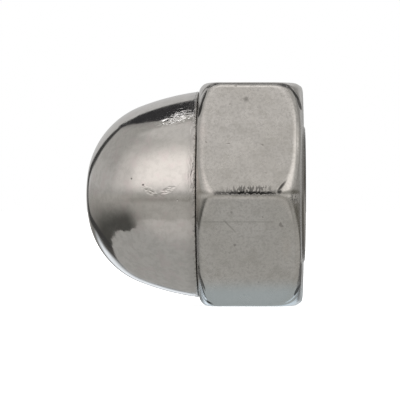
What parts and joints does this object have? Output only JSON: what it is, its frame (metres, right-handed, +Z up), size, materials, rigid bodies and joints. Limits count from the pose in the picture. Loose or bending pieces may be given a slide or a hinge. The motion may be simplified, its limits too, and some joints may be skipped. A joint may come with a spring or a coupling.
{
  "type": "cap nut",
  "caption": "Domed cap nut: a hexagon nut with a drawn steel cap welded over one end, which covers the screw's end.",
  "frame": {"origin": "centre of the nut's bearing face, on the thread's axis", "axes": "+X along the thread's axis, out of its mouth; +Z up, square to the flat that the nut lies on; a corner of the hexagon points to -Y and one to +Y"},
  "size_m": [0.0168, 0.0194, 0.017],
  "materials": {
    "hex_nut": "nickel plate, satin",
    "dome_cap": "nickel plate, bright"
  },
  "bodies": {
    "root": {"hex_nut": "hex_nut", "dome_cap": "dome_cap"}
  },
  "joints": []
}
